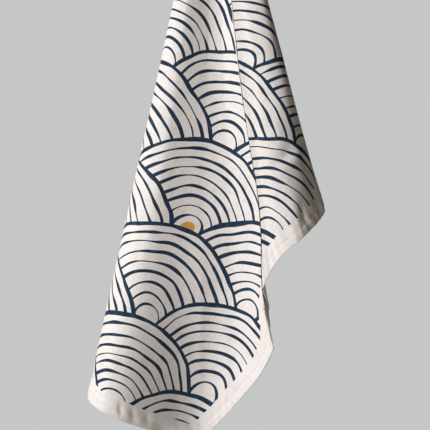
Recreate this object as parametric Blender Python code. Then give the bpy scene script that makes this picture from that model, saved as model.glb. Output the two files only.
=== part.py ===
# Tea towel hung by one point of its top edge.
#
# The cloth is a flat hemmed rectangle. Straight rays run from the hang point to
# its edges, and the fold table says where each ray goes once the towel hangs.
# Metres, +Z up, the front of the towel faces -Y, the origin is the hang point.

from collections import namedtuple
from math import cos, exp, hypot, radians, sin

import bmesh
import bpy

# Cloth as cut and hemmed
towel_width = 0.500
towel_length = 0.700
cloth_thickness = 0.0012
hem_thickness = 0.0018
hem_width = 0.012

# The hang point lies on the top edge, off its middle
hang_to_right_edge = 0.310
hang_to_left_edge = towel_width - hang_to_right_edge

# Bunch of folds where the towel hangs
bunch_start = 0.004
bunch_fade = 0.065
bunch_crown = 0.0075
bunch_half_width = 0.019
bunch_half_depth = 0.012

# Depth of one layer step below the bunch, and how much it grows down the ray
layer_pitch = 0.0026
layer_spread = 0.0131
middle_depth = 1.1

# Angles smaller than this, in radians, count as straight down
least_angle = 1e-6

cotton_colour = (0.80, 0.76, 0.70)
cotton_roughness = 0.85

# Distances down a ray between which it goes over from side to side_hem
middle_reach = 0.33
hem_reach = 0.70

# Shares of a ray's length between which it goes over from depth to depth_hem
deepen_from = 0.66
deepen_to = 0.97

# Cross rows between the bunch and the hem, as shares of the plain cloth's length
row_shares = (
    0.0, 0.04, 0.09, 0.16, 0.25, 0.34, 0.42, 0.49, 0.56,
    0.62, 0.68, 0.74, 0.80, 0.86, 0.91, 0.955, 1.0,
)

# Fold table, from the back's left edge round the front to the back's right edge.
# cloth: angle of the ray in the flat towel from straight down, towards its right
# edge. bunch_x, bunch_y: its place in the bunch, in millimetres. side: angle of the
# hanging ray, to the right. depth: layers behind the front, more is further back.
# crease: how far the ray follows the front crease. steps: mesh columns up to the
# next row.
Fold = namedtuple(
    "Fold", "name cloth bunch_x bunch_y side side_hem depth depth_hem crease steps"
)

folds = (
    Fold("top left corner", -90.0, -8.0, 11.7, -6.5, -6.5, 5.60, 5.60, 0, 2),
    Fold("outer back", -70.0, -1.5, 12.4, -1.0, -1.0, 5.90, 5.90, 0, 2),
    Fold("outer back right", -50.0, 6.0, 12.2, 5.0, 5.0, 5.75, 5.75, 0, 2),
    Fold("outer right turn", -42.5, 9.6, 11.7, 7.7, 7.7, 5.65, 5.65, 0, 2),
    Fold("outer right tip", -39.5, 11.4, 10.2, 8.5, 8.5, 5.05, 5.05, 0, 2),
    Fold("outer right return", -36.5, 9.6, 8.8, 7.6, 7.6, 4.48, 4.48, 0, 3),
    Fold("third layer right", -30.0, 3.0, 9.1, 2.0, 2.4, 4.60, 4.60, 0, 2),
    Fold("third layer middle", -24.5, -4.5, 9.5, -3.6, -3.4, 4.90, 5.00, 0, 3),
    Fold("third layer left", -20.6, -10.5, 9.3, -7.9, -7.7, 4.80, 4.95, 0, 2),
    Fold("inner left tip", -18.8, -12.0, 8.1, -9.0, -8.6, 4.25, 4.35, 0, 2),
    Fold("inner left return", -17.1, -10.8, 7.1, -8.2, -7.8, 3.75, 3.75, 0, 2),
    Fold("lower left corner", -15.19, -8.5, 7.0, -6.6, -6.0, 3.70, 3.65, 0, 2),
    Fold("second layer", -9.0, -3.0, 7.1, -2.4, -2.2, 3.85, 3.95, 0, 2),
    Fold("second right turn", -4.6, 1.2, 6.95, 1.0, 0.8, 3.75, 3.80, 0, 1),
    Fold("second right tip", -3.2, 2.9, 5.8, 1.9, 1.6, 3.30, 3.30, 0, 1),
    Fold("second right return", -1.8, 1.2, 4.7, 1.2, 1.0, 2.85, 2.80, 0, 2),
    Fold("back of left panel", 3.5, -5.5, 4.6, -4.2, -4.0, 2.80, 2.90, 0, 2),
    Fold("back left", 8.2, -11.5, 4.4, -8.8, -8.6, 2.65, 2.75, 0, 1),
    Fold("left roll back", 10.6, -14.6, 3.4, -11.1, -11.0, 2.10, 2.10, 0, 1),
    Fold("left roll side", 12.0, -16.0, 1.2, -12.1, -12.1, 1.30, 1.25, 0, 1),
    Fold("left silhouette", 12.93, -16.2, -1.2, -12.33, -12.33, 0.30, 0.30, 0, 1),
    Fold("left roll front", 14.8, -15.6, -3.8, -12.05, -12.05, -0.75, -0.75, 0, 1),
    Fold("left crest", 16.3, -14.3, -5.6, -11.3, -11.35, -1.45, -1.45, 0, 1),
    Fold("left panel start", 17.0, -12.6, -6.8, -10.1, -10.6, -2.05, -1.98, 0, 1),
    Fold("left panel crest", 18.09, -10.6, -7.6, -8.5, -9.4, -2.37, -2.05, 0, 1),
    Fold("left slope", 18.98, -9.0, -7.8, -7.2, -8.25, -2.20, -1.74, 0, 1),
    Fold("valley left side", 19.93, -7.2, -7.6, -5.8, -6.85, -1.84, -0.94, 0, 1),
    Fold("valley left foot", 21.22, -5.4, -7.3, -4.3, -5.1, -1.44, 0.26, 0, 1),
    Fold("valley floor", 22.69, -3.8, -7.1, -3.0, -3.3, -1.10, 1.48, 0, 1),
    Fold("lower right corner", 23.89, -2.1, -7.0, -1.7, -1.65, -0.82, 2.06, 0, 1),
    Fold("valley right foot", 24.72, -0.5, -7.0, -0.3, -0.07, -0.72, 1.88, 0, 1),
    Fold("rise", 25.3, 0.7, -7.2, 0.8, 1.1, -0.79, 1.46, 0.1, 1),
    Fold("rise middle", 25.95, 1.6, -7.7, 1.9, 2.3, -1.00, 0.90, 0.3, 1),
    Fold("rise to ridge", 27.0, 2.7, -8.7, 3.3, 4.15, -1.62, -0.48, 0.7, 1),
    Fold("ridge shoulder", 27.9, 3.5, -9.4, 4.2, 5.25, -2.10, -1.52, 1, 1),
    Fold("ridge", 28.5, 4.6, -9.9, 4.75, 5.78, -2.40, -1.98, 1, 1),
    Fold("pleat turn", 28.8, 6.2, -8.9, 5.12, 6.07, -2.20, -1.78, 1, 1),
    Fold("pleat under", 29.2, 5.0, -7.8, 4.8, 5.88, -1.98, -1.54, 1, 1),
    Fold("pleat inner front", 30.0, 3.7, -7.1, 4.35, 6.05, -1.72, -1.30, 0.9, 1),
    Fold("pleat inner turn", 30.7, 2.9, -6.2, 4.05, 6.05, -1.42, -1.03, 0.9, 1),
    Fold("pleat inner back", 31.4, 3.8, -5.4, 4.35, 6.4, -1.28, -1.01, 0.9, 1),
    Fold("pleat return", 32.3, 6.0, -6.0, 5.05, 6.62, -1.56, -1.37, 0.9, 1),
    Fold("right panel edge", 33.1, 8.4, -7.7, 5.55, 6.68, -1.95, -1.76, 0.8, 1),
    Fold("right panel start", 33.7, 10.2, -9.2, 6.1, 6.98, -2.33, -2.18, 0.6, 1),
    Fold("right panel rise", 34.4, 12.0, -10.4, 7.1, 7.55, -2.83, -2.76, 0.2, 1),
    Fold("right panel", 35.2, 13.3, -10.9, 8.6, 8.7, -3.40, -3.31, 0, 1),
    Fold("right panel crest", 36.1, 15.6, -11.4, 10.8, 10.9, -3.64, -3.60, 0, 1),
    Fold("right panel roll", 36.95, 17.8, -11.2, 12.75, 12.8, -3.46, -2.40, 0, 1),
    Fold("right roll front", 37.6, 19.2, -9.9, 13.9, 14.3, -2.95, -1.10, 0, 1),
    Fold("right roll", 38.15, 20.2, -8.3, 14.6, 15.3, -2.15, -0.25, 0, 1),
    Fold("right silhouette", 38.8, 20.5, -6.6, 14.83, 15.75, -1.40, 0.50, 0, 1),
    Fold("right roll back", 39.8, 20.2, -4.9, 14.6, 15.2, -0.75, 1.00, 0, 1),
    Fold("right roll end", 41.3, 18.9, -3.6, 13.5, 13.7, -0.25, 1.25, 0, 1),
    Fold("behind right panel", 43.8, 16.0, -3.0, 11.4, 11.5, 0.05, 1.10, 0, 2),
    Fold("behind pleat", 49.0, 8.6, -2.8, 6.6, 6.6, 0.00, 0.00, 0, 2),
    Fold("behind valley", 55.0, 0.8, -3.2, 0.6, 0.6, -0.05, -0.05, 0, 2),
    Fold("inner left turn", 58.6, -3.8, -2.9, -2.9, -2.9, 0.15, 0.15, 0, 1),
    Fold("inner left end", 60.0, -4.8, -1.8, -3.6, -3.6, 0.60, 0.60, 0, 1),
    Fold("inner left back", 61.5, -3.8, -0.7, -2.8, -2.8, 1.05, 1.05, 0, 2),
    Fold("inner layer", 67.0, 4.0, -0.5, 3.0, 3.0, 1.15, 1.15, 0, 2),
    Fold("inner right turn", 73.5, 13.0, -0.6, 10.2, 10.2, 1.10, 1.10, 0, 1),
    Fold("inner right end", 75.2, 14.2, 0.5, 11.2, 11.2, 1.50, 1.50, 0, 1),
    Fold("inner right back", 77.0, 13.0, 1.7, 10.3, 10.3, 1.95, 1.95, 0, 2),
    Fold("last layer", 83.0, 6.0, 2.0, 4.6, 4.6, 2.05, 2.05, 0, 2),
    Fold("top right corner", 90.0, -2.0, 2.0, -1.6, -1.6, 1.95, 1.95, 0, 0),
)

# How the front crease wanders from its ray: distance down, shift to the right in degrees
Wander = namedtuple("Wander", "reach shift")

crease_wander = (
    Wander(0.00, -0.30),
    Wander(0.23, -0.40),
    Wander(0.33, 0.10),
    Wander(0.40, 0.55),
    Wander(0.46, 0.85),
    Wander(0.51, 0.55),
    Wander(0.56, -0.10),
    Wander(0.59, -0.27),
    Wander(0.64, 0.10),
    Wander(0.70, 0.00),
    Wander(0.80, 0.00),
)


def clear_scene():
    for thing in list(bpy.data.objects):
        bpy.data.objects.remove(thing, do_unlink=True)


def between(before, start, end, after, share):
    """Smooth value between two table rows, from their neighbours (Catmull-Rom)."""
    lean_start = (end - before) / 2
    lean_end = (after - start) / 2
    s2 = share * share
    s3 = s2 * share
    return (
        (2 * s3 - 3 * s2 + 1) * start
        + (s3 - 2 * s2 + share) * lean_start
        + (3 * s2 - 2 * s3) * end
        + (s3 - s2) * lean_end
    )


def smooth_share(value, low, high):
    """0 up to low, 1 from high on, and a smooth rise between them."""
    share = min(max((value - low) / (high - low), 0.0), 1.0)
    return share * share * (3 - 2 * share)


def mesh_columns():
    """The fold table with its steps filled in, one Fold for each mesh column."""
    columns = []
    for i, row in enumerate(folds[:-1]):
        around = (folds[max(i - 1, 0)], row, folds[i + 1], folds[min(i + 2, len(folds) - 1)])
        for step in range(row.steps):
            share = step / row.steps
            values = [
                between(*(getattr(fold, number) for fold in around), share)
                for number in Fold._fields[1:-1]
            ]
            columns.append(Fold(row.name, *values, 1))
    columns.append(folds[-1])
    return columns


def crease_shift(reach):
    """Shift of the front crease at this distance down, in degrees."""
    last = len(crease_wander) - 1
    i = max(k for k in range(last) if crease_wander[k].reach <= reach)
    start, end = crease_wander[i], crease_wander[i + 1]
    before, after = crease_wander[max(i - 1, 0)], crease_wander[min(i + 2, last)]
    share = (reach - start.reach) / (end.reach - start.reach)
    return between(before.shift, start.shift, end.shift, after.shift, share)


def ray_reach(cloth_angle, inset=0.0):
    """Length of a flat ray from the hang point to the edge, or to a line inside it."""
    angle = radians(cloth_angle)
    reach = (towel_length - inset) / max(cos(angle), least_angle)
    to_side = hang_to_right_edge if angle > 0 else hang_to_left_edge
    if abs(angle) > least_angle:
        reach = min(reach, (to_side - inset) / abs(sin(angle)))
    return reach


def hanging_point(fold, reach):
    """Place of the cloth at this distance down this ray."""
    turned = smooth_share(reach, middle_reach, hem_reach)
    deepened = smooth_share(reach / ray_reach(fold.cloth), deepen_from, deepen_to)
    layer = fold.depth + (fold.depth_hem - fold.depth) * deepened
    side = fold.side + (fold.side_hem - fold.side) * turned
    angle = radians(side + fold.crease * crease_shift(reach))
    bunch = exp(-reach / bunch_fade)
    spread = layer_pitch * (1 - bunch) + layer_spread * reach
    bunch_x = fold.bunch_x / 1000
    bunch_y = fold.bunch_y / 1000
    off_middle = hypot(bunch_x / bunch_half_width, bunch_y / bunch_half_depth)
    x = reach * sin(angle) + bunch_x * bunch
    y = (layer - middle_depth) * spread + bunch_y * bunch
    z = -(reach - bunch_start) * cos(angle) - bunch_crown * off_middle**2 * bunch
    return x, y, z


def add_material(name, colour, roughness):
    material = bpy.data.materials.new(name)
    material.use_nodes = True
    shader = material.node_tree.nodes["Principled BSDF"]
    shader.inputs["Base Color"].default_value = (*colour, 1.0)
    shader.inputs["Roughness"].default_value = roughness
    shader.inputs["Metallic"].default_value = 0.0
    return material


def add_towel():
    """The whole cloth as one sheet, thickened, its hem band a little thicker."""
    mesh = bmesh.new()
    weights = mesh.verts.layers.deform.verify()
    columns = mesh_columns()
    grid = []
    for fold in columns:
        plain = ray_reach(fold.cloth, hem_width)
        reaches = [bunch_start + (plain - bunch_start) * share for share in row_shares]
        reaches.append(ray_reach(fold.cloth))
        line = [mesh.verts.new(hanging_point(fold, reach)) for reach in reaches]
        for vertex in line:
            vertex[weights][0] = cloth_thickness / hem_thickness
        line[-1][weights][0] = 1.0
        grid.append(line)
    for left, right in zip(grid, grid[1:]):
        for i in range(len(left) - 1):
            mesh.faces.new((left[i], left[i + 1], right[i + 1], right[i]))
    bmesh.ops.recalc_face_normals(mesh, faces=mesh.faces)

    data = bpy.data.meshes.new("towel")
    mesh.to_mesh(data)
    mesh.free()
    data.shade_smooth()
    towel = bpy.data.objects.new("towel", data)
    bpy.context.scene.collection.objects.link(towel)
    towel.vertex_groups.new(name="hem")
    towel.data.materials.append(add_material("cotton", cotton_colour, cotton_roughness))

    thicken = towel.modifiers.new("Cloth thickness", "SOLIDIFY")
    thicken.thickness = hem_thickness
    thicken.offset = 0.0
    thicken.vertex_group = "hem"
    thicken.thickness_vertex_group = 0.0
    return towel


def main():
    clear_scene()
    add_towel()


main()
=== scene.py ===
# Printed cotton tea towel, hung by one point of its top edge
from collections import namedtuple
from math import pi, radians

import bpy
import numpy as np
from mathutils import Matrix, Vector, noise


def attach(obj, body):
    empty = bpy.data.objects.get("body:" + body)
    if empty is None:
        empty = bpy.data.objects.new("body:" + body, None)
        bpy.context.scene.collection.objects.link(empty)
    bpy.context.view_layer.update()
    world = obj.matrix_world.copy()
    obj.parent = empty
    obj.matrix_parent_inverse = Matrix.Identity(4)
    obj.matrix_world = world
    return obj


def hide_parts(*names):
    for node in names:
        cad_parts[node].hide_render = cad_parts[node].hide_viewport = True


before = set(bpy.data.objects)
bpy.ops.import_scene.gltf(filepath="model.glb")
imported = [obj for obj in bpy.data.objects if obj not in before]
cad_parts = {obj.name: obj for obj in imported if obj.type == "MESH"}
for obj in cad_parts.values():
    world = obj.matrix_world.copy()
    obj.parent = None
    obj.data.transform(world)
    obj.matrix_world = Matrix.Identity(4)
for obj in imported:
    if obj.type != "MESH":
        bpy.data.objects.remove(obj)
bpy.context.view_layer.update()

# The cloth, in metres unless a name says millimetres
cloth = {
    "width": 0.500,
    "length": 0.700,
    "hangToRightEdge": 0.310,
    "cornerAngle": 23.89,  # of the lower right corner, seen from the hang point
    "bunchStart": 0.004,
    "bunchFade": 0.065,  # distance over which the bunch opens
    "bunchCrown": 0.0075,
    "bunchHalfWidth": 0.019,
    "bunchHalfDepth": 0.012,
    "layerPitch": 0.0026,  # depth of one layer, and what it gains for each metre down
    "layerSpread": 0.0131,
    "middleDepth": 1.1,  # the layer that hangs straight down
    "middleReach": 0.33,  # where the folds start to turn to their angles at the hem
    "hemReach": 0.70,
    "deepenFrom": 0.66,  # shares of a ray between which the depth at the hem takes over
    "deepenTo": 0.97,
    "clothThickness": 0.0005,
    "pleatThickness": 0.00015,
    "hemThickness": 0.0014,
    "bodyRows": 118,
    "bodyInset": 0.033,  # where the even rows end, from the edge
    "hemStep": 0.001,  # over which the cloth thickens into its hem
    "layFrom": 0.20,  # distances down between which the rays are laid flat
    "layTo": 0.80,
    "laySteps": 61,
    "tailLength": 0.16,  # lower part of a ray that is searched for the hem rows
    "tailShare": 0.35,
    "tailSteps": 90,
}
cloth["hangToLeftEdge"] = cloth["width"] - cloth["hangToRightEdge"]

# Cross rows near the edge, as distances inside it in millimetres
hemRows = (27, 22, 18, 15, 13, 11.6, 10.8, 10.2, 9.6, 8.8, 7, 5, 3, 1.6, 0.6, 0)

# Fold table, from the back's left edge round the front to the back's right edge.
# cloth: angle of the ray in the flat towel from straight down. bunchX, bunchY: place in
# the bunch in millimetres. side: angle of the hanging ray. depth: layers behind the
# front. crease: how far it follows the front crease. columns: up to the next row.
Fold = namedtuple("Fold", "name cloth bunchX bunchY side sideHem depth depthHem crease columns")

folds = (
    Fold("top left corner", -90.0, -8.0, 11.7, -6.5, -6.5, 5.60, 5.60, 0, 12),
    Fold("outer back", -70.0, -1.5, 12.4, -1.0, -1.0, 5.90, 5.90, 0, 7),
    Fold("outer back right", -50.0, 6.0, 12.2, 5.0, 5.0, 5.75, 5.75, 0, 5),
    Fold("outer right turn", -42.5, 9.6, 11.7, 7.7, 7.7, 5.65, 5.65, 0, 4),
    Fold("outer right tip", -39.5, 11.4, 10.2, 8.5, 8.5, 5.05, 5.05, 0, 4),
    Fold("outer right return", -36.5, 9.6, 8.8, 7.6, 7.6, 4.48, 4.48, 0, 6),
    Fold("third layer right", -30.0, 3.0, 9.1, 2.0, 2.4, 4.60, 4.60, 0, 5),
    Fold("third layer middle", -24.5, -4.5, 9.5, -3.6, -3.4, 4.90, 5.00, 0, 5),
    Fold("third layer left", -20.6, -10.5, 9.3, -7.9, -7.7, 4.80, 4.95, 0, 4),
    Fold("inner left tip", -18.8, -12.0, 8.1, -9.0, -8.6, 4.25, 4.35, 0, 4),
    Fold("inner left return", -17.1, -10.8, 7.1, -8.2, -7.8, 3.75, 3.75, 0, 4),
    Fold("lower left corner", -15.19, -8.5, 7.0, -6.6, -6.0, 3.70, 3.65, 0, 6),
    Fold("second layer", -9.0, -3.0, 7.1, -2.4, -2.2, 3.85, 3.95, 0, 5),
    Fold("second right turn", -4.6, 1.2, 6.95, 1.0, 0.8, 3.75, 3.80, 0, 4),
    Fold("second right tip", -3.2, 2.9, 5.8, 1.9, 1.6, 3.30, 3.30, 0, 4),
    Fold("second right return", -1.8, 1.2, 4.7, 1.2, 1.0, 2.85, 2.80, 0, 6),
    Fold("back of left panel", 3.5, -5.5, 4.6, -4.2, -4.0, 2.80, 2.90, 0, 7),
    Fold("back left", 8.2, -11.5, 4.4, -8.8, -8.6, 2.65, 2.75, 0, 5),
    Fold("left roll back", 10.6, -14.6, 3.4, -11.1, -11.0, 2.10, 2.10, 0, 5),
    Fold("left roll side", 12.0, -16.0, 1.2, -12.1, -12.1, 1.30, 1.25, 0, 5),
    Fold("left silhouette", 12.93, -16.2, -1.2, -12.33, -12.33, 0.30, 0.30, 0, 5),
    Fold("left roll front", 14.8, -15.6, -3.8, -12.05, -12.05, -0.75, -0.75, 0, 5),
    Fold("left crest", 16.3, -14.3, -5.6, -11.3, -11.35, -1.45, -1.45, 0, 7),
    Fold("left panel start", 17.0, -12.6, -6.8, -10.1, -10.6, -2.05, -1.98, 0, 8),
    Fold("left panel crest", 17.98, -10.6, -7.6, -8.5, -9.55, -2.37, -2.05, 0, 7),
    Fold("left slope", 18.83, -9.0, -7.8, -7.2, -8.45, -2.20, -1.74, 0, 7),
    Fold("valley left side", 19.83, -7.2, -7.6, -5.8, -7.0, -1.84, -0.94, 0, 7),
    Fold("valley left foot", 21.22, -5.4, -7.3, -4.3, -5.1, -1.44, 0.26, 0, 6),
    Fold("valley floor", 22.69, -3.8, -7.1, -3.0, -3.3, -1.10, 1.48, 0, 6),
    Fold("lower right corner", 23.89, -2.1, -7.0, -1.7, -1.65, -0.82, 2.15, 0, 6),
    Fold("valley right foot", 24.72, -0.5, -7.0, -0.3, -0.07, -0.72, 1.97, 0, 6),
    Fold("rise", 25.3, 0.7, -7.2, 0.8, 1.1, -0.77, 1.50, 0.1, 5),
    Fold("rise middle", 25.95, 1.6, -7.7, 1.9, 2.3, -0.95, 0.90, 0.3, 7),
    Fold("rise to ridge", 27.0, 2.7, -8.7, 3.3, 4.15, -1.62, -0.48, 0.7, 6),
    Fold("ridge shoulder", 27.9, 3.5, -9.4, 4.2, 5.25, -2.10, -1.52, 1, 4),
    Fold("ridge", 28.5, 4.9, -9.8, 4.8, 5.86, -2.40, -2.05, 1, 3),
    Fold("pleat turn", 28.8, 5.3, -9.5, 4.87, 5.92, -2.38, -2.02, 1, 3),
    Fold("pleat under", 29.2, 4.6, -8.7, 4.7, 5.78, -2.23, -1.95, 1, 3),
    Fold("pleat inner front", 30.0, 3.5, -7.2, 4.12, 6.24, -1.84, -1.55, 0.9, 3),
    Fold("pleat inner turn", 30.7, 2.7, -6.3, 3.68, 6.5, -1.52, -1.38, 0.9, 3),
    Fold("pleat inner back", 31.4, 3.4, -6.2, 4.02, 6.7, -1.54, -1.62, 0.9, 3),
    Fold("pleat return", 32.3, 5.0, -8.2, 4.74, 5.98, -2.21, -2.02, 0.9, 3),
    Fold("right panel edge", 32.85, 7.0, -9.3, 5.12, 6.3, -2.40, -2.20, 0.8, 4),
    Fold("right panel start", 33.7, 10.0, -9.9, 6.05, 6.87, -2.56, -2.42, 0.6, 5),
    Fold("right panel rise", 34.4, 12.0, -10.4, 7.1, 7.55, -2.88, -2.80, 0.2, 6),
    Fold("right panel", 35.2, 13.3, -10.9, 8.6, 8.7, -3.40, -3.31, 0, 7),
    Fold("right panel crest", 36.1, 15.6, -11.4, 10.8, 10.9, -3.64, -3.60, 0, 7),
    Fold("right panel roll", 36.95, 17.8, -11.2, 12.75, 12.8, -3.46, -2.40, 0, 6),
    Fold("right roll front", 37.6, 19.2, -9.9, 13.9, 14.3, -2.95, -1.10, 0, 5),
    Fold("right roll", 38.15, 20.2, -8.3, 14.6, 15.3, -2.15, -0.25, 0, 5),
    Fold("right silhouette", 38.8, 20.5, -6.6, 14.83, 15.75, -1.40, 0.50, 0, 5),
    Fold("right roll back", 39.8, 20.2, -4.9, 14.6, 15.2, -0.75, 1.00, 0, 5),
    Fold("right roll end", 41.3, 18.9, -3.6, 13.5, 13.7, -0.25, 1.25, 0, 6),
    Fold("behind right panel", 43.8, 16.0, -3.0, 11.4, 11.5, 0.05, 1.10, 0, 7),
    Fold("behind pleat", 49.0, 8.6, -2.8, 6.6, 6.6, 0.00, 0.00, 0, 6),
    Fold("behind valley", 55.0, 0.8, -3.2, 0.6, 0.6, -0.05, -0.05, 0, 4),
    Fold("inner left turn", 58.6, -3.8, -2.9, -2.9, -2.9, 0.15, 0.15, 0, 3),
    Fold("inner left end", 60.0, -4.8, -1.8, -3.6, -3.6, 0.60, 0.60, 0, 3),
    Fold("inner left back", 61.5, -3.8, -0.7, -2.8, -2.8, 1.05, 1.05, 0, 5),
    Fold("inner layer", 67.0, 4.0, -0.5, 3.0, 3.0, 1.15, 1.15, 0, 5),
    Fold("inner right turn", 73.5, 13.0, -0.6, 10.2, 10.2, 1.10, 1.10, 0, 3),
    Fold("inner right end", 75.2, 14.2, 0.5, 11.2, 11.2, 1.50, 1.50, 0, 3),
    Fold("inner right back", 77.0, 13.0, 1.7, 10.3, 10.3, 1.95, 1.95, 0, 5),
    Fold("last layer", 83.0, 6.0, 2.0, 4.6, 4.6, 2.05, 2.05, 0, 9),
    Fold("top right corner", 90.0, -2.0, 2.0, -1.6, -1.6, 1.95, 1.95, 0, 0),
)

# How the front crease wanders from its ray: distance down, shift to the right in degrees
Wander = namedtuple("Wander", "reach shift")

creaseWander = (
    Wander(0.00, -0.30),
    Wander(0.23, -0.40),
    Wander(0.33, 0.10),
    Wander(0.40, 0.55),
    Wander(0.46, 0.85),
    Wander(0.51, 0.55),
    Wander(0.56, -0.10),
    Wander(0.59, -0.27),
    Wander(0.64, 0.10),
    Wander(0.70, 0.00),
    Wander(0.80, 0.00),
)

# Soft creases of the front, seen from the front: from (x, z) to (x, z), half width and
# height in metres, a trough where the height is negative
Crease = namedtuple("Crease", "name fromX fromZ toX toZ halfWidth height")

creases = (
    Crease("corner dent", 0.1012, -0.4735, 0.1046, -0.4915, 0.0026, -0.0019),
    Crease("panel dimple", 0.0700, -0.4220, 0.0880, -0.4080, 0.0050, -0.0024),
    Crease("panel fold", 0.0867, -0.4213, 0.1022, -0.4095, 0.0045, 0.0017),
    Crease("panel hollow", 0.0837, -0.3888, 0.0884, -0.4595, 0.0075, -0.0020),
    Crease("hem curl", -0.1400, -0.7180, -0.0700, -0.7475, 0.0070, -0.0064),
    Crease("first pucker", -0.1136, -0.7075, -0.1112, -0.7195, 0.0021, -0.0017),
    Crease("second pucker", -0.0992, -0.7145, -0.0970, -0.7275, 0.0019, -0.0017),
    Crease("third pucker", -0.0826, -0.7205, -0.0800, -0.7360, 0.0022, -0.0017),
    Crease("hem fold", -0.0715, -0.7350, -0.0545, -0.7435, 0.0042, -0.0036),
    Crease("long soft fold", -0.060, -0.440, -0.076, -0.640, 0.0150, 0.0010),
)

# How a crease fades at its ends, by the share of its length
creaseFade = {
    "past": 0.4,  # it runs on past each end by this share
    "strength": 1.4,
    "slope": 1.6,
}

# Puckers along the stitched hem, and how noise bends, weakens and strengthens them
pucker = {
    "height": 0.00055,
    "length": 0.0125,
    "slant": 0.35,
    "bandMiddle": 0.006,
    "bandReach": 0.013,
    "bend": 0.8,
    "bendScales": (40, 25),  # of the noise, along the edge and inside it
    "bendLayer": 0.0,
    "strength": 0.55,
    "strengthSwing": 1.5,
    "strengthMost": 2,
    "strengthScales": (9, 5),
    "strengthLayer": 7.3,
}

# Rounding of the doubled hem, and the cloth's slow and fine unevenness
unevenness = {
    "hemPuff": 0.00020,
    "puffRise": 0.0015,
    "edgeRound": 0.0012,
    "stitchDip": 0.00022,
    "stitchDipWidth": 0.0009,
    "slowHeight": 0.0008,
    "slowScales": (11.0, 5.0),  # of the noise, over the angle and the distance down
    "slowLayer": 0.0,
    "slowFullReach": 0.35,
    "fineHeight": 0.00022,
    "fineScales": (70.0, 70.0),
    "fineLayer": 3.1,
}

hem = {
    "width": 0.012,
    "stitchInset": 0.0102,
    "stitchLength": 0.0027,
    "stitchGap": 0.0006,
    "threadRadius": 0.00024,
    "threadSides": 6,
}


def deselectAll():
    for thing in bpy.context.selected_objects:
        thing.select_set(False)


def easeBetween(before, start, end, after, share):
    # smooth value between two table rows, from their neighbours
    leanStart = (end - before) / 2
    leanEnd = (after - start) / 2
    squared = share * share
    cubed = squared * share
    return (
        (2 * cubed - 3 * squared + 1) * start
        + (cubed - 2 * squared + share) * leanStart
        + (3 * squared - 2 * cubed) * end
        + (cubed - squared) * leanEnd
    )


def smoothShare(value, low, high):
    share = np.clip((value - low) / (high - low), 0, 1)
    return share * share * (3 - 2 * share)


def rowsAround(table, i):
    last = len(table) - 1
    return table[max(i - 1, 0)], table[i], table[min(i + 1, last)], table[min(i + 2, last)]


def foldMeasures(fold):
    # the eight measures between a fold's name and its number of columns
    return np.array(fold[1:-1])


def fillFolds():
    # the fold table with its columns filled in, and each column's place in the table
    columns, placeInTable = [], []
    for i, fold in enumerate(folds[:-1]):
        around = [foldMeasures(row) for row in rowsAround(folds, i)]
        for step in range(fold.columns):
            share = step / fold.columns
            columns.append(easeBetween(*around, share))
            placeInTable.append(i + share)
    columns.append(foldMeasures(folds[-1]))
    placeInTable.append(len(folds) - 1)
    return np.array(columns), np.array(placeInTable)


def creaseShift(reach):
    # shift of the front crease in degrees, for an array of distances down
    knots = np.array([row.reach for row in creaseWander])
    shift = np.zeros_like(reach)
    for i in range(len(creaseWander) - 1):
        before, start, end, after = rowsAround(creaseWander, i)
        inside = (reach >= knots[i]) & (reach <= knots[i + 1])
        share = (reach - start.reach) / (end.reach - start.reach)
        value = easeBetween(before.shift, start.shift, end.shift, after.shift, share)
        shift = np.where(inside, value, shift)
    return shift


def rayReach(clothAngle):
    # length of each flat ray, from the hang point to the towel's edge
    angle = np.radians(clothAngle)
    toBottom = cloth["length"] / np.maximum(np.cos(angle), 1e-6)
    side = np.where(angle > 0, cloth["hangToRightEdge"], cloth["hangToLeftEdge"])
    toSide = side / np.maximum(np.abs(np.sin(angle)), 1e-6)
    return np.minimum(toBottom, toSide)


def hangingPlace(columns, reach):
    # place of the cloth: columns is (n, 8), reach is (n, m), the result (n, m, 3)
    clothAngle, bunchX, bunchY, side, sideHem, depth, depthHem, crease = columns.T[:, :, None]
    turned = smoothShare(reach, cloth["middleReach"], cloth["hemReach"])
    deepened = smoothShare(reach / rayReach(clothAngle), cloth["deepenFrom"], cloth["deepenTo"])
    layer = depth + (depthHem - depth) * deepened
    angle = np.radians(side + (sideHem - side) * turned + crease * creaseShift(reach))
    bunch = np.exp(-reach / cloth["bunchFade"])
    spread = cloth["layerPitch"] * (1 - bunch) + cloth["layerSpread"] * reach
    offMiddle = np.hypot(
        bunchX / 1000 / cloth["bunchHalfWidth"], bunchY / 1000 / cloth["bunchHalfDepth"]
    )
    x = reach * np.sin(angle) + bunchX / 1000 * bunch
    y = (layer - cloth["middleDepth"]) * spread + bunchY / 1000 * bunch
    z = -(reach - cloth["bunchStart"]) * np.cos(angle)
    z = z - cloth["bunchCrown"] * offMiddle**2 * bunch
    return np.stack([x, y, z], axis=-1)


def layFlat(columns):
    # lays the hanging rays flat again, so that patterns keep their true size on the folds
    reaches = np.linspace(cloth["layFrom"], cloth["layTo"], cloth["laySteps"])
    places = hangingPlace(columns, np.tile(reaches, (len(columns), 1)))
    steps = np.linalg.norm(np.diff(places, axis=0), axis=2) / reaches
    turns = np.vstack([np.zeros(len(reaches)), np.cumsum(steps, axis=0)])
    corner = int(np.argmin(np.abs(columns[:, 0] - cloth["cornerAngle"])))
    flat = {
        "reaches": reaches,
        "turns": turns - turns[corner] + radians(columns[corner, 0]),
        "ends": rayReach(columns[:, 0]),
    }
    ends = [flatPlace(flat, c, flat["ends"][c : c + 1])[0] for c in range(len(columns))]
    flat["outline"] = np.array(ends)
    return flat


def flatPlace(flat, column, reach):
    turn = np.interp(reach, flat["reaches"], flat["turns"][column])
    return np.stack([reach * np.sin(turn), -reach * np.cos(turn)], axis=-1)


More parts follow.
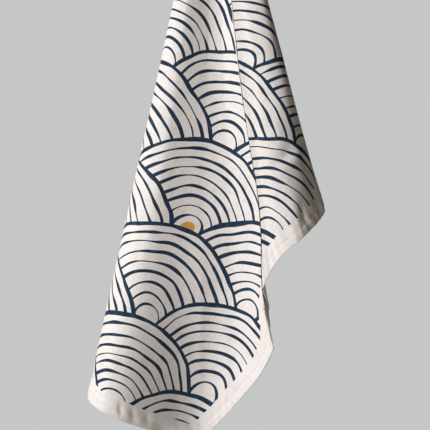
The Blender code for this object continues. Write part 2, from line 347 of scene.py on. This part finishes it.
def toHangEdge(flat, points):
    # distance from flat points to the top edge on both sides of the hang point
    hangPoint = np.zeros((1, 2))
    left = np.vstack([hangPoint, flat["outline"][:1]])
    right = np.vstack([hangPoint, flat["outline"][-1:]])
    return np.minimum(distanceToLine(points, left), distanceToLine(points, right))


def distanceToLine(points, line):
    start, along = line[:-1], np.diff(line, axis=0)
    away = points[:, None, :] - start[None]
    length = np.maximum((along**2).sum(1), 1e-18)
    share = np.clip((away * along).sum(2) / length, 0, 1)
    return np.linalg.norm(away - share[..., None] * along, axis=2).min(1)


def rowReaches(flat, column):
    # distances down one ray: even rows, then the rows that follow the hem
    end = flat["ends"][column]
    tailEnd = max(end - cloth["tailLength"], end * cloth["tailShare"])
    tail = np.linspace(end, tailEnd, cloth["tailSteps"])
    inset = distanceToLine(flatPlace(flat, column, tail), flat["outline"])
    inset = np.maximum.accumulate(inset)
    near = np.interp(np.array(hemRows) / 1000, inset, tail)
    bodyEnd = np.interp(cloth["bodyInset"], inset, tail)
    body = np.linspace(cloth["bunchStart"], bodyEnd, cloth["bodyRows"])
    return np.concatenate([body, near])


def noiseOver(across, down, scales, layer):
    # soft noise from -1 to 1 over two directions of the cloth
    spots = np.column_stack([across * scales[0], down * scales[1], np.full(len(across), layer)])
    return np.array([noise.noise(Vector(spot)) for spot in spots])


def bump(distance, halfWidth):
    # soft hump, one in the middle and almost nothing past three times its half width
    return np.exp(-0.5 * (distance / halfWidth) ** 2)


def creaseHeight(places, onFront):
    # height of the soft creases, for places of the whole cloth
    height = np.zeros(len(places))
    past = creaseFade["past"]
    seen = places[:, [0, 2]]
    for crease in creases:
        start = np.array([crease.fromX, crease.fromZ])
        along = np.array([crease.toX, crease.toZ]) - start
        share = np.clip((seen - start) @ along / (along @ along), -past, 1 + past)
        away = np.linalg.norm(seen - start - share[:, None] * along, axis=1)
        fade = np.clip(creaseFade["strength"] - np.abs(share - 0.5) * creaseFade["slope"], 0, 1)
        height += crease.height * bump(away, crease.halfWidth) * fade
    return height * onFront


def unevenHeight(flatPlaces, toEdge, alongEdge):
    # height of the cloth over its plain folds
    bend = noiseOver(alongEdge, toEdge, pucker["bendScales"], pucker["bendLayer"])
    swing = noiseOver(alongEdge, toEdge, pucker["strengthScales"], pucker["strengthLayer"])
    strength = pucker["strength"] + pucker["strengthSwing"] * swing
    phase = (alongEdge + pucker["slant"] * toEdge) / pucker["length"] + pucker["bend"] * bend
    inBand = bump(toEdge - pucker["bandMiddle"], pucker["bandReach"])
    puckers = pucker["height"] * np.sin(2 * pi * phase) * inBand
    puckers *= np.clip(strength, 0, pucker["strengthMost"])

    puff = np.clip((hem["stitchInset"] - toEdge) / unevenness["puffRise"], 0, 1)
    puff *= unevenness["hemPuff"] * np.clip(toEdge / unevenness["edgeRound"], 0, 1)
    dip = -unevenness["stitchDip"] * bump(toEdge - hem["stitchInset"], unevenness["stitchDipWidth"])

    reach = np.linalg.norm(flatPlaces, axis=1)
    turn = np.arctan2(flatPlaces[:, 0], -flatPlaces[:, 1])
    slow = noiseOver(turn, reach, unevenness["slowScales"], unevenness["slowLayer"])
    slow *= unevenness["slowHeight"] * np.clip(reach / unevenness["slowFullReach"], 0, 1)
    fine = noiseOver(*flatPlaces.T, unevenness["fineScales"], unevenness["fineLayer"])
    fine *= unevenness["fineHeight"]
    return puckers + puff + dip + slow + fine


def surfaceNormals(grid):
    # of a (columns, rows, 3) grid, pointing out of the printed side
    across = np.gradient(grid, axis=0)
    down = np.gradient(grid, axis=1)
    normals = np.cross(down, across)
    return normals / np.maximum(np.linalg.norm(normals, axis=2, keepdims=True), 1e-12)


def shapeCloth():
    columns, placeInTable = fillFolds()
    flat = layFlat(columns)
    reaches = np.array([rowReaches(flat, c) for c in range(len(columns))])
    grid = hangingPlace(columns, reaches)
    flatGrid = np.array([flatPlace(flat, c, reaches[c]) for c in range(len(columns))])
    toEdge = np.array([distanceToLine(line, flat["outline"]) for line in flatGrid])
    toTop = np.array([toHangEdge(flat, line) for line in flatGrid])
    edgeDistance = np.minimum(toEdge, toTop)

    outlineSteps = np.linalg.norm(np.diff(flat["outline"], axis=0), axis=1)
    alongOutline = np.concatenate([[0], np.cumsum(outlineSteps)])
    alongEdge = np.tile(alongOutline[:, None], (1, grid.shape[1]))

    names = [fold.name for fold in folds]
    frontStart, frontEnd = names.index("left silhouette"), names.index("right silhouette")
    onFront = ((placeInTable >= frontStart) & (placeInTable <= frontEnd)).astype(float)
    onFront = np.repeat(onFront[:, None], grid.shape[1], axis=1)

    pleatStart, pleatEnd = names.index("pleat turn"), names.index("pleat return")
    inPleat = (placeInTable > pleatStart) & (placeInTable < pleatEnd)
    inPleat = np.repeat(inPleat[:, None], grid.shape[1], axis=1)

    height = unevenHeight(flatGrid.reshape(-1, 2), edgeDistance.ravel(), alongEdge.ravel())
    height = height + creaseHeight(grid.reshape(-1, 3), onFront.ravel())
    grid = grid + surfaceNormals(grid) * height.reshape(grid.shape[:2])[..., None]
    print("cloth grid", grid.shape[0], "columns", grid.shape[1], "rows")
    return {
        "grid": grid,
        "normals": surfaceNormals(grid),
        "flat": flatGrid,
        "toSide": toEdge,
        "toTop": toTop,
        "edgeDistance": edgeDistance,
        "inPleat": inPleat,
    }


def addSheet(shape, materials):
    grid = shape["grid"]
    columnCount, rowCount = grid.shape[:2]
    index = np.arange(columnCount * rowCount).reshape(columnCount, rowCount)
    faces = np.stack(
        [index[:-1, :-1], index[:-1, 1:], index[1:, 1:], index[1:, :-1]], axis=-1
    ).reshape(-1, 4)
    mesh = bpy.data.meshes.new("towelCloth")
    mesh.from_pydata(grid.reshape(-1, 3).tolist(), [], faces.tolist())
    mesh.update()

    corners = np.empty(len(mesh.loops), dtype=np.int32)
    mesh.loops.foreach_get("vertex_index", corners)
    clothMap = mesh.uv_layers.new(name="clothMap")
    clothMap.uv.foreach_set("vector", shape["flat"].reshape(-1, 2)[corners].astype(np.float32).ravel())
    distance = mesh.attributes.new("edgeDistance", "FLOAT", "POINT")
    distance.data.foreach_set("value", shape["edgeDistance"].ravel().astype(np.float32))
    mesh.shade_smooth()

    towel = bpy.data.objects.new("towelCloth", mesh)
    bpy.context.scene.collection.objects.link(towel)
    for material in materials:
        mesh.materials.append(material)

    group = towel.vertex_groups.new(name="hem")
    thin = np.where(shape["inPleat"], cloth["pleatThickness"], cloth["clothThickness"]).ravel()
    thin = thin / cloth["hemThickness"]
    band = np.clip((hem["width"] - shape["edgeDistance"].ravel()) / cloth["hemStep"], 0, 1)
    for vertex, weight in enumerate(thin + (1 - thin) * band):
        group.add([vertex], float(weight), "REPLACE")

    thicken = towel.modifiers.new("clothThickness", "SOLIDIFY")
    thicken.thickness = cloth["hemThickness"]
    thicken.offset = -1.0
    thicken.vertex_group = group.name
    thicken.material_offset = 1
    thicken.material_offset_rim = 2
    deselectAll()
    towel.select_set(True)
    bpy.context.view_layer.objects.active = towel
    bpy.ops.object.modifier_apply(modifier=thicken.name)
    print("towel cloth", len(towel.data.polygons), "faces")
    return towel


def rowLine(shape, row):
    # a row of the sheet as a line of places with their normals
    return shape["grid"][:, row], shape["normals"][:, row]


def hangEdgeLine(shape, columnOrder):
    # the line inside the top edge where its hem is sewn, on one side of the hang point
    places, normals = [], []
    for row in range(shape["grid"].shape[1]):
        inside = shape["toTop"][columnOrder, row]
        rising = int(np.argmax(inside > hem["stitchInset"]))
        if rising == 0 or shape["toSide"][columnOrder[0], row] < hem["stitchInset"]:
            continue
        share = (hem["stitchInset"] - inside[rising - 1]) / (inside[rising] - inside[rising - 1])
        before, after = columnOrder[rising - 1], columnOrder[rising]
        for store, field in ((places, "grid"), (normals, "normals")):
            values = shape[field]
            store.append(values[before, row] * (1 - share) + values[after, row] * share)
    return np.array(places), np.array(normals)


def stitchesAlong(places, normals, lift):
    # start, end and normal of every stitch along a line of places
    steps = np.linalg.norm(np.diff(places, axis=0), axis=1)
    along = np.concatenate([[0], np.cumsum(steps)])
    spacing = hem["stitchLength"] + hem["stitchGap"]
    starts = np.arange(hem["stitchGap"], along[-1] - spacing, spacing)

    def at(distance, values):
        return np.stack([np.interp(distance, along, values[:, k]) for k in range(3)], axis=-1)

    ends = starts + hem["stitchLength"]
    middle = at((starts + ends) / 2, normals)
    middle /= np.linalg.norm(middle, axis=1, keepdims=True)
    return at(starts, places) + middle * lift, at(ends, places) + middle * lift, middle


# Rings along one stitch: share of its length, width and height over the cloth in thread radii
ThreadRing = namedtuple("ThreadRing", "share width height")

threadRings = (
    ThreadRing(0.00, 0.35, -1.20),
    ThreadRing(0.14, 0.90, 0.10),
    ThreadRing(0.50, 1.00, 0.55),
    ThreadRing(0.86, 0.90, 0.10),
    ThreadRing(1.00, 0.35, -1.20),
)


def modelStitch(material):
    # one arched stitch of unit length: Z goes along it, X out of the cloth, with its rings
    # in thread radii
    first = threadRings[0]
    deselectAll()
    bpy.ops.mesh.primitive_circle_add(
        vertices=hem["threadSides"], radius=first.width, fill_type="NGON", calc_uvs=False,
        location=(first.height, 0, first.share),
    )
    stitch = bpy.context.active_object
    bpy.ops.object.transform_apply(location=True, rotation=True, scale=True)
    bpy.ops.object.mode_set(mode="EDIT")
    bpy.ops.mesh.select_all(action="SELECT")
    for before, ring in zip(threadRings, threadRings[1:]):
        step = (ring.height - before.height, 0, ring.share - before.share)
        growth = ring.width / before.width
        bpy.ops.mesh.extrude_region_move(TRANSFORM_OT_translate={"value": step})
        bpy.ops.transform.resize(
            value=(growth, growth, growth), center_override=(ring.height, 0, ring.share)
        )
    bpy.ops.mesh.select_all(action="SELECT")
    bpy.ops.mesh.normals_make_consistent(inside=False)
    bpy.ops.object.mode_set(mode="OBJECT")
    bpy.ops.object.shade_smooth()
    stitch.data.materials.append(material)
    return stitch


def addThreads(name, stitches, material):
    # every stitch is a copy of the same one, and all of them are joined
    model = modelStitch(material)
    radius = hem["threadRadius"]
    threads = []
    for start, end, normal in stitches:
        along = end - start
        across = np.cross(along / np.linalg.norm(along), normal)
        axes = np.column_stack([normal * radius, across * radius, along, start])
        thread = bpy.data.objects.new(name, model.data.copy())
        thread.data.transform(Matrix([*axes.tolist(), (0, 0, 0, 1)]))
        bpy.context.scene.collection.objects.link(thread)
        threads.append(thread)
    bpy.data.objects.remove(model)
    deselectAll()
    for thread in threads:
        thread.select_set(True)
    bpy.context.view_layer.objects.active = threads[0]
    bpy.ops.object.join()
    threads[0].data.name = name
    print(name, len(stitches), "stitches")
    return threads[0]


def addHemStitches(shape, material):
    toStitches = np.abs(np.array(hemRows) / 1000 - hem["stitchInset"])
    stitchRow = cloth["bodyRows"] + int(np.argmin(toStitches))
    # the two halves of the top edge lie in the first and the last third of the columns
    columnCount = shape["grid"].shape[0]
    fromLeft = np.arange(columnCount // 3)
    fromRight = np.arange(columnCount - 1, columnCount * 2 // 3, -1)
    lines = [rowLine(shape, stitchRow)]
    lines += [hangEdgeLine(shape, order) for order in (fromLeft, fromRight)]
    stitches = []
    for lift in (0.0, -cloth["hemThickness"]):
        for places, normals in lines:
            starts, ends, middle = stitchesAlong(places, normals, lift)
            facing = middle if lift == 0 else -middle
            stitches += list(zip(starts, ends, facing))
    return addThreads("hemStitches", stitches, material)


# Shader nodes, wired from short expressions
def newNode(tree, kind, **settings):
    node = tree.nodes.new(kind)
    for name, value in settings.items():
        setattr(node, name, value)
    return node


def plug(tree, socket, value):
    if isinstance(value, bpy.types.NodeSocket):
        tree.links.new(value, socket)
    else:
        socket.default_value = value


def calc(tree, operation, *values):
    node = newNode(tree, "ShaderNodeMath", operation=operation)
    for socket, value in zip(node.inputs, values):
        plug(tree, socket, value)
    return node.outputs[0]


def mix(tree, share, first, second):
    node = newNode(tree, "ShaderNodeMix", data_type="FLOAT")
    plug(tree, node.inputs[0], share)
    plug(tree, node.inputs[2], first)
    plug(tree, node.inputs[3], second)
    return node.outputs[0]


def mixColour(tree, share, first, second):
    node = newNode(tree, "ShaderNodeMix", data_type="RGBA")
    plug(tree, node.inputs[0], share)
    plug(tree, node.inputs[6], first)
    plug(tree, node.inputs[7], second)
    return node.outputs[2]


def softStep(tree, value, low, high):
    node = newNode(tree, "ShaderNodeMapRange", interpolation_type="SMOOTHSTEP")
    for socket, number in zip(node.inputs, (value, low, high, 0.0, 1.0)):
        plug(tree, socket, number)
    return node.outputs[0]


def noiseNode(tree, place, scale, detail=2.0, roughness=0.5):
    node = newNode(tree, "ShaderNodeTexNoise")
    plug(tree, node.inputs["Vector"], place)
    plug(tree, node.inputs["Scale"], scale)
    plug(tree, node.inputs["Detail"], detail)
    plug(tree, node.inputs["Roughness"], roughness)
    return node


def scaled(tree, place, factors):
    node = newNode(tree, "ShaderNodeVectorMath", operation="MULTIPLY")
    plug(tree, node.inputs[0], place)
    plug(tree, node.inputs[1], factors)
    return node.outputs[0]


def newGroup(name, inputs, outputs):
    # inputs and outputs are (name, kind) pairs, kind Float, Color or Vector
    group = bpy.data.node_groups.new(name, "ShaderNodeTree")
    for title, kind in inputs:
        group.interface.new_socket(title, in_out="INPUT", socket_type="NodeSocket" + kind)
    for title, kind in outputs:
        group.interface.new_socket(title, in_out="OUTPUT", socket_type="NodeSocket" + kind)
    start = group.nodes.new("NodeGroupInput")
    end = group.nodes.new("NodeGroupOutput")
    return group, start.outputs, end.inputs


def useGroup(tree, group, **values):
    node = newNode(tree, "ShaderNodeGroup", node_tree=group)
    for name, value in values.items():
        plug(tree, node.inputs[name], value)
    return node.outputs


# Print: overlapping fans of rings, a common traditional pattern, drawn as by hand
fanPrint = {
    "radius": 0.112,
    "shiftX": 0.030,
    "shiftY": 0.012,
    "firstRing": 0.0128,
    "ringPitch": 0.0118,
    "thinnest": 0.0018,
    "thickest": 0.0048,
    "borderLeast": 0.00375,  # half width of a fan's outline
    "borderSwell": 0.0020,
    "wobble": 0.0100,
    "wobbleScale": 10.0,
    "fineWobble": 0.0020,
    "fineWobbleScale": 36.0,
    "ringShift": 0.006,
    "ringScale": 11.0,  # noise along one ring
    "ringChange": 1.7,  # and from one ring to the next
    "brushScale": 2.6,
    "brushLight": 0.30,
    "brushHeavy": 0.70,
    "core": 0.075,  # in radii, as the next three
    "coreSoftness": 0.004,
    "coreGap": 0.115,
    "gapSoftness": 0.01,
    "accentEvery": 11.0,  # one fan in so many has a mustard core
    "accentStride": 4.0,
    "accentStart": 4.5,
    "bareMargin": 0.0215,
    "marginShift": 0.006,
    "softness": 0.00030,
}


def makeFanRow():
    # one row of overlapping discs: distance from the nearest disc's middle, in radii.
    # Discs stand two radii apart, and each row is half a radius above the last.
    group, given, result = newGroup(
        "fanRow",
        (("X", "Float"), ("Y", "Float"), ("Step", "Float")),
        (("Distance", "Float"), ("Number", "Float"), ("Row", "Float")),
    )
    row = calc(group, "FLOOR", calc(group, "MULTIPLY", given["Y"], 2.0))
    row = calc(group, "ADD", row, given["Step"])
    odd = calc(group, "FLOORED_MODULO", row, 2.0)
    across = calc(group, "MULTIPLY", calc(group, "SUBTRACT", given["X"], odd), 0.5)
    number = calc(group, "ROUND", across)
    offX = calc(group, "MULTIPLY", calc(group, "SUBTRACT", across, number), 2.0)
    offY = calc(group, "SUBTRACT", given["Y"], calc(group, "MULTIPLY", row, 0.5))
    squareX = calc(group, "MULTIPLY", offX, offX)
    squareY = calc(group, "MULTIPLY", offY, offY)
    plug(group, result["Distance"], calc(group, "SQRT", calc(group, "ADD", squareX, squareY)))
    plug(group, result["Number"], number)
    plug(group, result["Row"], row)
    return group


def makeFanPrint(fanRow):
    # masks of the navy lines and the mustard cores
    group, given, result = newGroup(
        "fanPrint",
        (("Place", "Vector"), ("ToEdge", "Float")),
        (("Ink", "Float"), ("Accent", "Float")),
    )
    place = given["Place"]
    bent = place
    for amount, scale in (("wobble", "wobbleScale"), ("fineWobble", "fineWobbleScale")):
        drift = noiseNode(group, place, fanPrint[scale], detail=0.0)
        farthest = fanPrint[amount] * 2
        node = newNode(group, "ShaderNodeVectorMath", operation="MULTIPLY_ADD")
        plug(group, node.inputs[0], drift.outputs["Color"])
        plug(group, node.inputs[1], (farthest, farthest, 0.0))
        plug(group, node.inputs[2], bent)
        bent = node.outputs[0]
    split = newNode(group, "ShaderNodeSeparateXYZ")
    plug(group, split.inputs[0], bent)
    x = calc(group, "ADD", split.outputs[0], fanPrint["shiftX"])
    y = calc(group, "ADD", split.outputs[1], fanPrint["shiftY"])
    x = calc(group, "DIVIDE", x, fanPrint["radius"])
    y = calc(group, "DIVIDE", y, fanPrint["radius"])

    # the lowest disc that covers a place lies in front
    front, middle, back = (useGroup(group, fanRow, X=x, Y=y, Step=step) for step in (-1.0, 0.0, 1.0))
    inFront = calc(group, "LESS_THAN", front["Distance"], 1.0)
    inMiddle = calc(group, "LESS_THAN", middle["Distance"], 1.0)

    def ofDisc(title):
        return mix(group, inFront, mix(group, inMiddle, back[title], middle[title]), front[title])

    distance, number, row = ofDisc("Distance"), ofDisc("Number"), ofDisc("Row")
    inside = calc(group, "MULTIPLY", calc(group, "SUBTRACT", 1.0, distance), fanPrint["radius"])

    fromFirst = calc(group, "SUBTRACT", inside, fanPrint["firstRing"])
    ring = calc(group, "ROUND", calc(group, "DIVIDE", fromFirst, fanPrint["ringPitch"]))
    ring = calc(group, "MAXIMUM", ring, 0.0)
    ringPlace = newNode(group, "ShaderNodeCombineXYZ")
    plug(group, ringPlace.inputs[2], calc(group, "MULTIPLY", ring, fanPrint["ringChange"]))
    ringSpot = newNode(group, "ShaderNodeVectorMath", operation="MULTIPLY_ADD")
    plug(group, ringSpot.inputs[0], place)
    plug(group, ringSpot.inputs[1], (fanPrint["ringScale"],) * 3)
    plug(group, ringSpot.inputs[2], ringPlace.outputs[0])
    uneven = noiseNode(group, ringSpot.outputs[0], 1.0, detail=1.0).outputs[0]
    brush = noiseNode(group, ringSpot.outputs[0], fanPrint["brushScale"], detail=1.0).outputs[0]
    shift = calc(group, "MULTIPLY", calc(group, "SUBTRACT", uneven, 0.5), fanPrint["ringShift"])
    onRing = calc(group, "SUBTRACT", fromFirst, calc(group, "MULTIPLY", ring, fanPrint["ringPitch"]))
    toRing = calc(group, "ABSOLUTE", calc(group, "ADD", onRing, shift))
    pressure = softStep(group, brush, fanPrint["brushLight"], fanPrint["brushHeavy"])
    width = mix(group, pressure, fanPrint["thinnest"], fanPrint["thickest"])
    overLine = calc(group, "SUBTRACT", calc(group, "MULTIPLY", width, 0.5), toRing)
    ringInk = softStep(group, overLine, 0.0, fanPrint["softness"])

    # the middle of a fan is bare, and a few fans have a mustard core there
    gap = fanPrint["coreGap"]
    outsideCore = softStep(group, distance, gap, gap + fanPrint["gapSoftness"])
    ringInk = calc(group, "MULTIPLY", ringInk, outsideCore)
    turnOrder = calc(group, "MULTIPLY", number, fanPrint["accentStride"])
    turnOrder = calc(group, "ADD", turnOrder, calc(group, "ADD", row, fanPrint["accentStart"]))
    turnOrder = calc(group, "FLOORED_MODULO", turnOrder, fanPrint["accentEvery"])
    mustard = calc(group, "LESS_THAN", turnOrder, 1.0)
    coreStart = fanPrint["core"] - fanPrint["coreSoftness"]
    core = calc(group, "SUBTRACT", 1.0, softStep(group, distance, coreStart, fanPrint["core"]))
    accent = calc(group, "MULTIPLY", core, mustard)

    swell = calc(group, "MULTIPLY", pressure, fanPrint["borderSwell"])
    borderHalf = calc(group, "ADD", fanPrint["borderLeast"], swell)
    overBorder = calc(group, "SUBTRACT", borderHalf, inside)
    borderInk = softStep(group, overBorder, 0.0, fanPrint["softness"])
    ink = calc(group, "MAXIMUM", ringInk, borderInk)

    ragged = calc(group, "MULTIPLY", calc(group, "SUBTRACT", brush, 0.5), fanPrint["marginShift"])
    pastMargin = calc(group, "SUBTRACT", given["ToEdge"], fanPrint["bareMargin"])
    pastMargin = calc(group, "ADD", pastMargin, ragged)
    printed = softStep(group, pastMargin, 0.0, fanPrint["softness"])
    plug(group, result["Ink"], calc(group, "MULTIPLY", ink, printed))
    plug(group, result["Accent"], calc(group, "MULTIPLY", accent, printed))
    return group


weave = {
    "threadPitch": 0.00058,
    "slubAlong": 45.0,
    "slubAcross": 430.0,
    "threadHeight": 0.5,
    "slubHeight": 5.0,
}


def makeWeave():
    # plain weave: height of the crossing threads, and the tone of thicker and thinner ones
    group, given, result = newGroup(
        "plainWeave", (("Place", "Vector"),), (("Height", "Float"), ("Tone", "Float"))
    )
    split = newNode(group, "ShaderNodeSeparateXYZ")
    plug(group, split.inputs[0], given["Place"])
    turns = [
        calc(group, "SINE", calc(group, "MULTIPLY", split.outputs[k], pi / weave["threadPitch"]))
        for k in (0, 1)
    ]
    crossing = calc(group, "MULTIPLY", turns[0], turns[1])
    along = (weave["slubAlong"], weave["slubAcross"], 1.0)
    across = (weave["slubAcross"], weave["slubAlong"], 1.0)
    weft = noiseNode(group, scaled(group, given["Place"], along), 1.0, detail=1.0).outputs[0]
    warp = noiseNode(group, scaled(group, given["Place"], across), 1.0, detail=1.0).outputs[0]
    tone = calc(group, "MULTIPLY", calc(group, "ADD", weft, warp), 0.5)
    slubs = calc(group, "MULTIPLY", tone, weave["slubHeight"])
    height = calc(group, "ADD", calc(group, "MULTIPLY", crossing, weave["threadHeight"]), slubs)
    plug(group, result["Height"], height)
    plug(group, result["Tone"], tone)
    return group


cotton = {
    "colour": (0.80, 0.766, 0.756, 1.0),
    "shade": (0.70, 0.652, 0.628, 1.0),
    "ink": (0.0030, 0.0180, 0.0480, 1.0),
    "inkWorn": (0.030, 0.085, 0.160, 1.0),
    "mustard": (0.62, 0.33, 0.055, 1.0),
    "roughness": 0.88,
    "inkSmoother": 0.10,
    "specular": 0.25,
    "sheen": 0.12,
    "sheenRoughness": 0.5,
    "weaveHeight": 0.00010,
    "weaveStrength": 0.6,
    "threadTone": 4.2,  # how much the slubs show as tones between colour and shade
    "plainTone": 0.06,
    "cloudTone": 0.14,
    "cloudScale": 7.0,
    "cloudFrom": 0.35,
    "cloudTo": 0.75,
    "threadWear": 0.12,
    "patchWear": 0.55,
    "patchScale": 160.0,
    "patchFrom": 0.45,
    "patchTo": 0.80,
    "shineThrough": 0.10,  # the print's strength on the back
}


def makeCotton(name, groups, showInk):
    # cotton with the print at full strength, or shining through to the back
    material = bpy.data.materials.new(name)
    material.use_nodes = True
    tree = material.node_tree
    shader = tree.nodes["Principled BSDF"]
    place = newNode(tree, "ShaderNodeUVMap", uv_map="clothMap").outputs[0]
    toEdge = newNode(tree, "ShaderNodeAttribute", attribute_name="edgeDistance").outputs["Fac"]
    threads = useGroup(tree, groups["weave"], Place=place)

    clouds = noiseNode(tree, place, cotton["cloudScale"], detail=3.0, roughness=0.6).outputs[0]
    clouds = softStep(tree, clouds, cotton["cloudFrom"], cotton["cloudTo"])
    tone = calc(tree, "SUBTRACT", threads["Tone"], 0.5)
    tone = calc(tree, "MULTIPLY", tone, cotton["threadTone"])
    tone = calc(tree, "ADD", tone, cotton["plainTone"])
    tone = calc(tree, "ADD", tone, calc(tree, "MULTIPLY", clouds, cotton["cloudTone"]))
    colour = mixColour(tree, tone, cotton["colour"], cotton["shade"])
    if showInk > 0:
        pattern = useGroup(tree, groups["print"], Place=place, ToEdge=toEdge)
        patches = noiseNode(tree, place, cotton["patchScale"], roughness=0.6).outputs[0]
        patches = softStep(tree, patches, cotton["patchFrom"], cotton["patchTo"])
        worn = calc(tree, "MULTIPLY", patches, cotton["patchWear"])
        worn = calc(tree, "ADD", worn, calc(tree, "MULTIPLY", threads["Tone"], cotton["threadWear"]))
        ink = mixColour(tree, worn, cotton["ink"], cotton["inkWorn"])
        inkShare = calc(tree, "MULTIPLY", pattern["Ink"], showInk)
        mustardShare = calc(tree, "MULTIPLY", pattern["Accent"], showInk)
        colour = mixColour(tree, inkShare, colour, ink)
        colour = mixColour(tree, mustardShare, colour, cotton["mustard"])
        smoother = calc(tree, "MULTIPLY", pattern["Ink"], cotton["inkSmoother"])
        roughness = calc(tree, "SUBTRACT", cotton["roughness"], smoother)
        plug(tree, shader.inputs["Roughness"], roughness)
    else:
        shader.inputs["Roughness"].default_value = cotton["roughness"]
    plug(tree, shader.inputs["Base Color"], colour)
    shader.inputs["Specular IOR Level"].default_value = cotton["specular"]
    shader.inputs["Sheen Weight"].default_value = cotton["sheen"]
    shader.inputs["Sheen Roughness"].default_value = cotton["sheenRoughness"]

    relief = newNode(tree, "ShaderNodeBump")
    relief.inputs["Distance"].default_value = cotton["weaveHeight"]
    relief.inputs["Strength"].default_value = cotton["weaveStrength"]
    plug(tree, relief.inputs["Height"], threads["Height"])
    plug(tree, shader.inputs["Normal"], relief.outputs[0])
    return material


sewingThread = {
    "colour": (0.80, 0.76, 0.72, 1.0),
    # shade is painted shade for the low parts of the twist, colour is its lit high points
    "shade": (0.66, 0.62, 0.58, 1.0),
    "roughness": 0.7,
    "sheen": 0.1,
    "twistHeight": 0.00005,
    "twistScale": 2200.0,
    "twistFrom": 0.3,
    "twistTo": 0.7,
}


def makeThread():
    material = bpy.data.materials.new("sewingThread")
    material.use_nodes = True
    tree = material.node_tree
    shader = tree.nodes["Principled BSDF"]
    place = newNode(tree, "ShaderNodeTexCoord").outputs["Object"]
    twist = noiseNode(tree, place, sewingThread["twistScale"], detail=1.0).outputs[0]
    # painted shade and highlight: darker where the twist lies low, lighter on its high points, from
    # the same noise as the bump
    twistShading = softStep(tree, twist, sewingThread["twistFrom"], sewingThread["twistTo"])
    colour = mixColour(tree, twistShading, sewingThread["shade"], sewingThread["colour"])
    plug(tree, shader.inputs["Base Color"], colour)
    shader.inputs["Roughness"].default_value = sewingThread["roughness"]
    shader.inputs["Sheen Weight"].default_value = sewingThread["sheen"]
    relief = newNode(tree, "ShaderNodeBump")
    relief.inputs["Distance"].default_value = sewingThread["twistHeight"]
    plug(tree, relief.inputs["Height"], twist)
    plug(tree, shader.inputs["Normal"], relief.outputs[0])
    return material


def addTowel():
    shape = shapeCloth()
    groups = {"print": makeFanPrint(makeFanRow()), "weave": makeWeave()}
    materials = [
        makeCotton("printedCotton", groups, 1.0),
        makeCotton("cottonBack", groups, cotton["shineThrough"]),
        makeCotton("cottonEdge", groups, 0.0),
    ]
    towel = addSheet(shape, materials)
    stitches = addHemStitches(shape, makeThread())
    for piece in (towel, stitches):
        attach(piece, "root")
    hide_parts("towel")


# Floor, backdrop and ambient light, and the two lamps
studio = {
    "floorHeight": -1.02,
    "floorRadius": 2.3,
    "floorSides": 96,
    "floorRoughness": 0.9,
    "floorColour": (0.70, 0.70, 0.68),
    "backdropColour": (0.56, 0.57, 0.57),
    "ambientColour": (1.0, 0.79, 0.54),
    "ambientStrength": 0.07,
    "lampAim": (0.0, 0.0, -0.42),
}
lamps = {
    "keyLight": {
        "place": (-2.115, -1.775, 0.45),
        "size": 0.85,
        "power": 87.0,
        "colour": (1.0, 0.985, 0.97),
    },
    "backLight": {
        "place": (-0.7, 2.3, 0.5),
        "size": 1.4,
        "power": 40.0,
        "colour": (1.0, 0.97, 0.95),
    },
}


def addFloor():
    deselectAll()
    bpy.ops.mesh.primitive_circle_add(
        vertices=studio["floorSides"], radius=studio["floorRadius"], fill_type="NGON",
        location=(0, 0, studio["floorHeight"]),
    )
    floor = bpy.context.active_object
    floor.name = "floor"
    bpy.ops.object.transform_apply(location=True, rotation=True, scale=True)
    material = bpy.data.materials.new("paleFloor")
    material.use_nodes = True
    shader = material.node_tree.nodes["Principled BSDF"]
    shader.inputs["Base Color"].default_value = (*studio["floorColour"], 1.0)
    shader.inputs["Roughness"].default_value = studio["floorRoughness"]
    floor.data.materials.append(material)


def addAreaLight(name, place, size, power, colour):
    data = bpy.data.lights.new(name, "AREA")
    data.shape = "DISK"
    data.size = size
    data.energy = power
    data.color = colour
    light = bpy.data.objects.new(name, data)
    light.location = place
    aim = Vector(studio["lampAim"]) - Vector(place)
    light.rotation_euler = aim.to_track_quat("-Z", "Y").to_euler()
    bpy.context.scene.collection.objects.link(light)


def addStudio():
    # the backdrop's colour is only seen by the camera, and a weak ambient light fills the shade
    addFloor()
    for name, lamp in lamps.items():
        addAreaLight(name, **lamp)
    world = bpy.data.worlds.new("studioWorld")
    world.use_nodes = True
    bpy.context.scene.world = world
    tree = world.node_tree
    tree.nodes.clear()
    seen = newNode(tree, "ShaderNodeBackground")
    seen.inputs["Color"].default_value = (*studio["backdropColour"], 1.0)
    ambient = newNode(tree, "ShaderNodeBackground")
    ambient.inputs["Color"].default_value = (*studio["ambientColour"], 1.0)
    ambient.inputs["Strength"].default_value = studio["ambientStrength"]
    rays = newNode(tree, "ShaderNodeLightPath")
    blend = newNode(tree, "ShaderNodeMixShader")
    output = newNode(tree, "ShaderNodeOutputWorld")
    plug(tree, blend.inputs[0], rays.outputs["Is Camera Ray"])
    plug(tree, blend.inputs[1], ambient.outputs[0])
    plug(tree, blend.inputs[2], seen.outputs[0])
    plug(tree, output.inputs[0], blend.outputs[0])
    bpy.context.scene.view_settings.view_transform = "Standard"
    print("studio ready")


cameraView = {
    "place": (-0.0012, -2.52, -0.4831),
    "lens": 176.2,  # mm, for a 36 mm sensor and a square picture
    "sensor": 36.0,
}


def addCamera():
    data = bpy.data.cameras.new("camera")
    data.lens = cameraView["lens"]
    data.sensor_width = cameraView["sensor"]
    data.sensor_fit = "HORIZONTAL"
    eye = bpy.data.objects.new("camera", data)
    eye.location = cameraView["place"]
    eye.rotation_euler = (radians(90), 0, 0)
    bpy.context.scene.collection.objects.link(eye)
    bpy.context.scene.camera = eye


addCamera()
addTowel()
addStudio()
